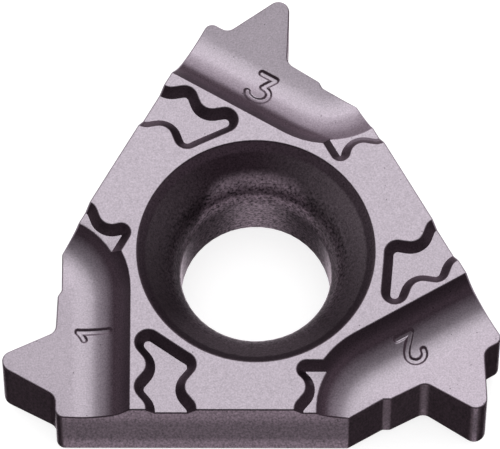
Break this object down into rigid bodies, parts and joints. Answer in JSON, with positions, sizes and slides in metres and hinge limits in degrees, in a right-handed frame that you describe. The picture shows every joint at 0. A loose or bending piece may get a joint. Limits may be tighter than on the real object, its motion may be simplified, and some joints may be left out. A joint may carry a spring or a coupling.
{
  "type": "threading insert",
  "caption": "Three-cornered lay-down insert for external threading, with a full-profile pipe-thread tooth and chip groove at each corner and a conical screw seat.",
  "frame": {"origin": "on the screw hole's axis, at the flat underside that seats in the holder", "axes": "+Z along the screw hole's axis, out of the top face where the clamping screw goes in; one long side faces -Y, corner 1 is at the lower left seen from above, corner 3 at the top"},
  "size_m": [0.0138, 0.0125, 0.0035],
  "materials": {
    "coated_carbide": "satin grey-mauve vapour-deposited coating on sintered tungsten carbide; ground sides carry fine grinding lines, pressed faces are smooth with fine pits"
  },
  "bodies": {
    "root": {"threading_insert": "coated_carbide"}
  },
  "joints": []
}
